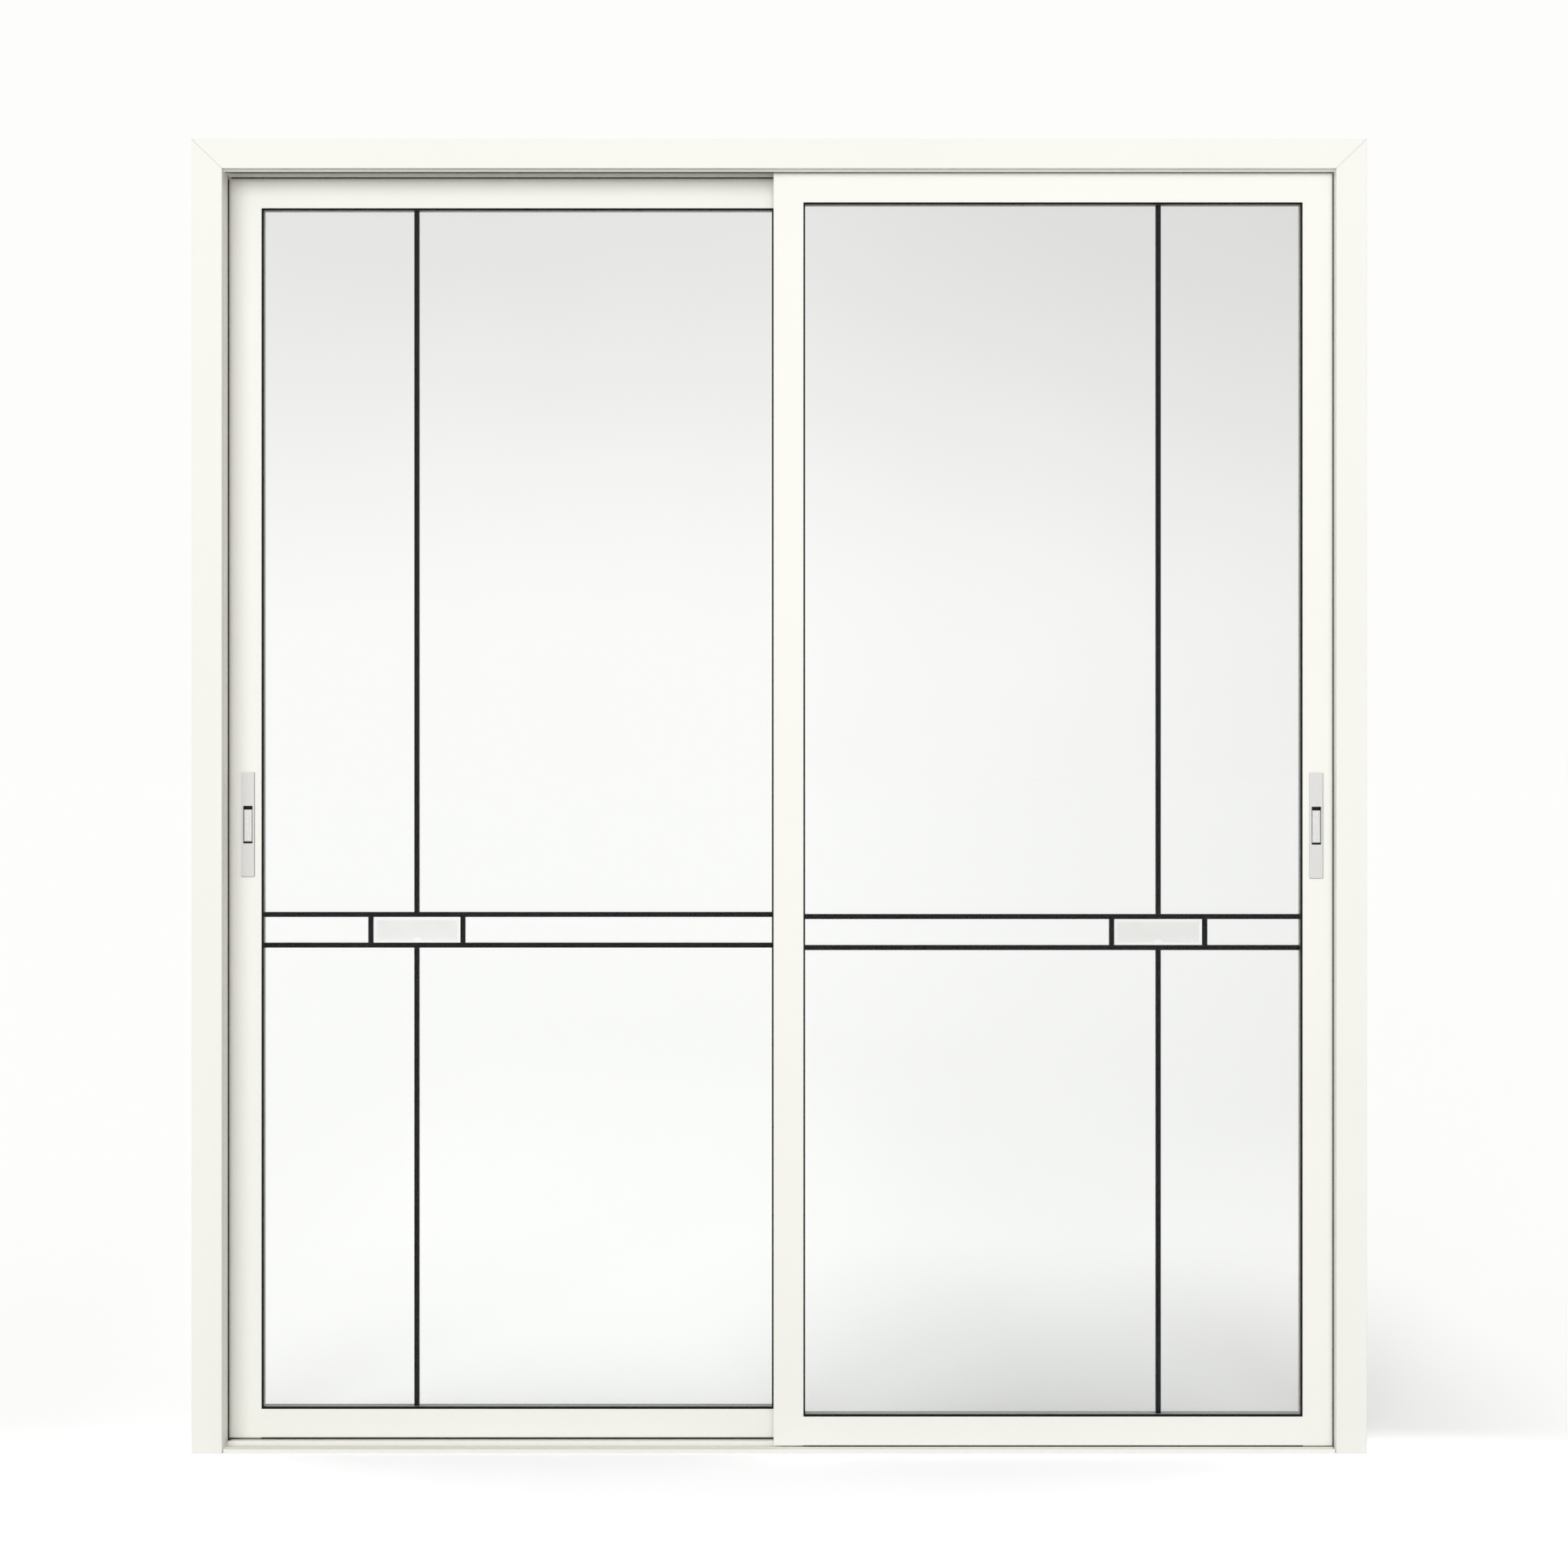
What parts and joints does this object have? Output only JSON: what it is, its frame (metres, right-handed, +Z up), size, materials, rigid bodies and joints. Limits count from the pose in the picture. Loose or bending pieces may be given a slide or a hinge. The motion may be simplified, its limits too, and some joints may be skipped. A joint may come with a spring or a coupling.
{
  "type": "glass interior sliding door",
  "caption": "Sliding glass door set: white lining and casings, sliding glazed leaves with dark glazing bars, flush handles, floor track and head track.",
  "frame": {"origin": "on the floor under the sill, midway between the jambs and midway through the wall", "axes": "+X to the right seen from the front, +Y through the wall to the back, +Z up"},
  "size_m": [1.878, 0.134, 2.1],
  "materials": {
    "frame_white": "satin warm white powder coat",
    "gasket_black": "matt black extruded rubber",
    "bar_black": "satin black lacquer",
    "clear_glass": "clear float glass",
    "tile_glass": "bevelled glass",
    "spacer_pale": "mill-finished spacer",
    "handle_silver": "satin anodised",
    "latch_silver": "satin anodised",
    "sill_aluminium": "satin warm white powder coat",
    "gear_steel": "zinc plated",
    "nylon_white": "moulded nylon",
    "pile_dark": "dense dark pile",
    "stop_rubber": "moulded rubber"
  },
  "bodies": {
    "door_frame": {"jamb_left": "frame_white", "jamb_right": "frame_white", "head_track": "frame_white", "jamb_covers": "frame_white", "sill_track": "sill_aluminium", "pile_seals": "pile_dark", "stop_buffers": "stop_rubber", "casing_front_left": "frame_white", "casing_front_right": "frame_white", "casing_front_head": "frame_white", "casing_rear_left": "frame_white", "casing_rear_right": "frame_white", "casing_rear_head": "frame_white"},
    "rear_leaf": {"rear_lock_stile": "frame_white", "rear_meeting_stile": "frame_white", "rear_top_rail": "frame_white", "rear_bottom_rail": "frame_white", "rear_glass_front": "clear_glass", "rear_glass_back": "clear_glass", "rear_spacer": "spacer_pale", "rear_gaskets": "gasket_black", "rear_band_bars": "bar_black", "rear_uprights": "bar_black", "rear_box_tile": "tile_glass", "rear_handle_plate_front": "handle_silver", "rear_handle_plate_back": "handle_silver", "rear_roller_brackets": "gear_steel", "rear_wheels": "nylon_white", "rear_end_caps": "nylon_white", "rear_interlock": "frame_white"},
    "rear_latch_slider": {"rear_latch": "latch_silver"},
    "front_leaf": {"front_lock_stile": "frame_white", "front_meeting_stile": "frame_white", "front_top_rail": "frame_white", "front_bottom_rail": "frame_white", "front_glass_front": "clear_glass", "front_glass_back": "clear_glass", "front_spacer": "spacer_pale", "front_gaskets": "gasket_black", "front_band_bars": "bar_black", "front_uprights": "bar_black", "front_box_tile": "tile_glass", "front_handle_plate_front": "handle_silver", "front_handle_plate_back": "handle_silver", "front_roller_brackets": "gear_steel", "front_wheels": "nylon_white", "front_end_caps": "nylon_white", "front_interlock": "frame_white"},
    "front_latch_slider": {"front_latch": "latch_silver"}
  },
  "joints": [
    {"name": "rear_leaf_slide", "type": "slide", "parent": "door_frame", "child": "rear_leaf", "axis": [1, 0, 0], "range_m": [0, 0.849]},
    {"name": "front_leaf_slide", "type": "slide", "parent": "door_frame", "child": "front_leaf", "axis": [-1, 0, 0], "range_m": [0, 0.879]},
    {"name": "rear_latch_slide", "type": "slide", "parent": "rear_leaf", "child": "rear_latch_slider", "axis": [0, 0, 1], "range_m": [0, 0.005]},
    {"name": "front_latch_slide", "type": "slide", "parent": "front_leaf", "child": "front_latch_slider", "axis": [0, 0, 1], "range_m": [0, 0.005]}
  ]
}
